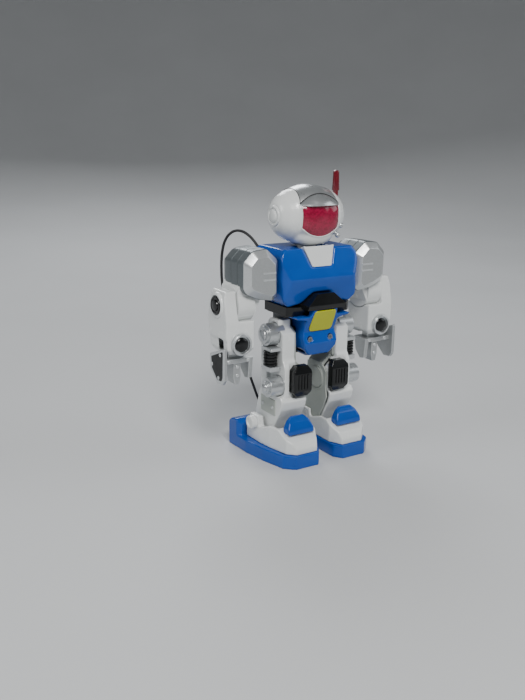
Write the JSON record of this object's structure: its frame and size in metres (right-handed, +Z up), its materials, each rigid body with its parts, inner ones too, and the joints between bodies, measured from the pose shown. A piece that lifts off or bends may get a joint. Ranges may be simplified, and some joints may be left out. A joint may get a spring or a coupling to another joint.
{
  "type": "toy robot",
  "caption": "Walking toy robot with a helmeted head, posable arms and a geared leg drive, wired to a small lever handset.",
  "frame": {"origin": "on the floor, midway between the robot's two feet, under its centre line", "axes": "+Z up; -Y is the way the robot faces; +X is the robot's left"},
  "size_m": [0.2125, 0.218, 0.256],
  "materials": {
    "white_shell": "glossy moulded plastic",
    "blue_shell": "glossy moulded plastic",
    "silver_trim": "silver paint on plastic",
    "grey_pad": "satin silver-grey paint",
    "black_plastic": "satin black plastic",
    "red_lens": "translucent red plastic",
    "yellow_panel": "satin moulded plastic",
    "light_grey_cover": "satin moulded plastic",
    "dark_grey_case": "fine moulded texture",
    "inner_plastic": "bare moulded plastic",
    "motor_steel": "plated steel",
    "screw_steel": "dark plated steel",
    "pinion_brass": "machined",
    "battery_jacket": "plain wrapped jacket",
    "cord_rubber": "flexible black jacket"
  },
  "bodies": {
    "torso": {"chest_front": "blue_shell", "chest_back": "blue_shell", "neck_bib": "white_shell", "neck_post": "white_shell", "waist_belt": "black_plastic", "pelvis_cover": "blue_shell", "belly_panel": "yellow_panel", "gearbox_case": "dark_grey_case", "motor": "motor_steel", "body_screws": "screw_steel", "handset_top": "dark_grey_case", "handset_base": "dark_grey_case", "battery_door": "dark_grey_case", "batteries": "battery_jacket", "cord_relief": "cord_rubber", "cord_run": "cord_rubber", "cord_coil": "cord_rubber", "cord_tie": "black_plastic"},
    "head": {"helmet_shell": "white_shell", "crest": "silver_trim", "visor": "red_lens", "ear_discs": "white_shell", "cheek_studs": "silver_trim", "antenna": "red_lens", "head_lamp": "red_lens"},
    "motor_pinion": {"pinion": "pinion_brass"},
    "crank": {"crank_gear": "inner_plastic"},
    "lever": {"handset_lever": "blue_shell"},
    "right_arm": {"right_shoulder_pad": "grey_pad", "right_upper_arm": "white_shell"},
    "right_lower_arm": {"right_forearm": "white_shell", "right_elbow_cap": "black_plastic", "right_wrist_ring": "silver_trim", "right_wrist_cap": "black_plastic"},
    "right_grip": {"right_hand": "grey_pad"},
    "right_leg": {"right_leg_shell": "white_shell", "right_inner_cover": "light_grey_cover", "right_side_trim": "silver_trim", "right_piston": "black_plastic", "right_knee_pad": "black_plastic"},
    "right_foot": {"right_ankle_pin": "white_shell", "right_ankle_cover": "blue_shell", "right_foot_shell": "white_shell", "right_sole": "blue_shell"},
    "left_arm": {"left_shoulder_pad": "grey_pad", "left_upper_arm": "white_shell"},
    "left_lower_arm": {"left_forearm": "white_shell", "left_elbow_cap": "black_plastic", "left_wrist_ring": "silver_trim", "left_wrist_cap": "black_plastic"},
    "left_grip": {"left_hand": "grey_pad"},
    "left_leg": {"left_leg_shell": "white_shell", "left_inner_cover": "light_grey_cover", "left_side_trim": "silver_trim", "left_piston": "black_plastic", "left_knee_pad": "black_plastic"},
    "left_foot": {"left_ankle_pin": "white_shell", "left_ankle_cover": "blue_shell", "left_foot_shell": "white_shell", "left_sole": "blue_shell"}
  },
  "joints": [
    {"name": "head_turn", "type": "hinge", "parent": "torso", "child": "head", "pos_m": [0, -0.004, 0.195], "axis": [0, 0, 1], "range_deg": [-35, 35]},
    {"name": "right_shoulder", "type": "hinge", "parent": "torso", "child": "right_arm", "pos_m": [-0.0415, -0.005, 0.172], "axis": [-1, 0, 0], "range_deg": [-20, 120]},
    {"name": "right_elbow", "type": "hinge", "parent": "right_arm", "child": "right_lower_arm", "pos_m": [-0.07, -0.003, 0.145], "axis": [-1, 0, 0], "range_deg": [0, 45]},
    {"name": "right_wrist", "type": "hinge", "parent": "right_lower_arm", "child": "right_grip", "pos_m": [-0.0765, -0.008, 0.1125], "axis": [0, -1, 0], "range_deg": [-15, 15]},
    {"name": "right_hip", "type": "hinge", "parent": "torso", "child": "right_leg", "pos_m": [-0.0245, -0.01, 0.115], "axis": [-1, 0, 0], "range_deg": [-8, 8]},
    {"name": "right_ankle", "type": "hinge", "parent": "right_leg", "child": "right_foot", "pos_m": [-0.0265, 0.002, 0.03], "axis": [-1, 0, 0], "range_deg": [-8, 8]},
    {"name": "left_shoulder", "type": "hinge", "parent": "torso", "child": "left_arm", "pos_m": [0.0415, -0.005, 0.172], "axis": [-1, 0, 0], "range_deg": [-20, 120]},
    {"name": "left_elbow", "type": "hinge", "parent": "left_arm", "child": "left_lower_arm", "pos_m": [0.07, -0.003, 0.145], "axis": [-1, 0, 0], "range_deg": [0, 45]},
    {"name": "left_wrist", "type": "hinge", "parent": "left_lower_arm", "child": "left_grip", "pos_m": [0.0765, -0.008, 0.1125], "axis": [0, 1, 0], "range_deg": [-15, 15]},
    {"name": "left_hip", "type": "hinge", "parent": "torso", "child": "left_leg", "pos_m": [0.0245, -0.01, 0.115], "axis": [-1, 0, 0], "range_deg": [-8, 8]},
    {"name": "left_ankle", "type": "hinge", "parent": "left_leg", "child": "left_foot", "pos_m": [0.0265, 0.002, 0.03], "axis": [-1, 0, 0], "range_deg": [-8, 8]},
    {"name": "crank_turn", "type": "hinge", "parent": "torso", "child": "crank", "pos_m": [0, 0.004, 0.106], "axis": [1, 0, 0], "continuous": true},
    {"name": "pinion_turn", "type": "hinge", "parent": "torso", "child": "motor_pinion", "pos_m": [0.0145, 0.01, 0.11714], "axis": [1, 0, 0], "continuous": true},
    {"name": "handset_lever_tilt", "type": "hinge", "parent": "torso", "child": "lever", "pos_m": [0.08083, 0.12833, 0.0206], "axis": [0.848, -0.5299, 0], "range_deg": [-15, 15], "stiffness_Nm_per_rad": 0.02}
  ],
  "couplings": [
    {"joint": "left_hip", "follows": "right_hip", "ratio": -1},
    {"joint": "right_ankle", "follows": "right_hip", "ratio": -1},
    {"joint": "left_ankle", "follows": "right_hip", "ratio": 1},
    {"joint": "pinion_turn", "follows": "crank_turn", "ratio": -3.6}
  ]
}
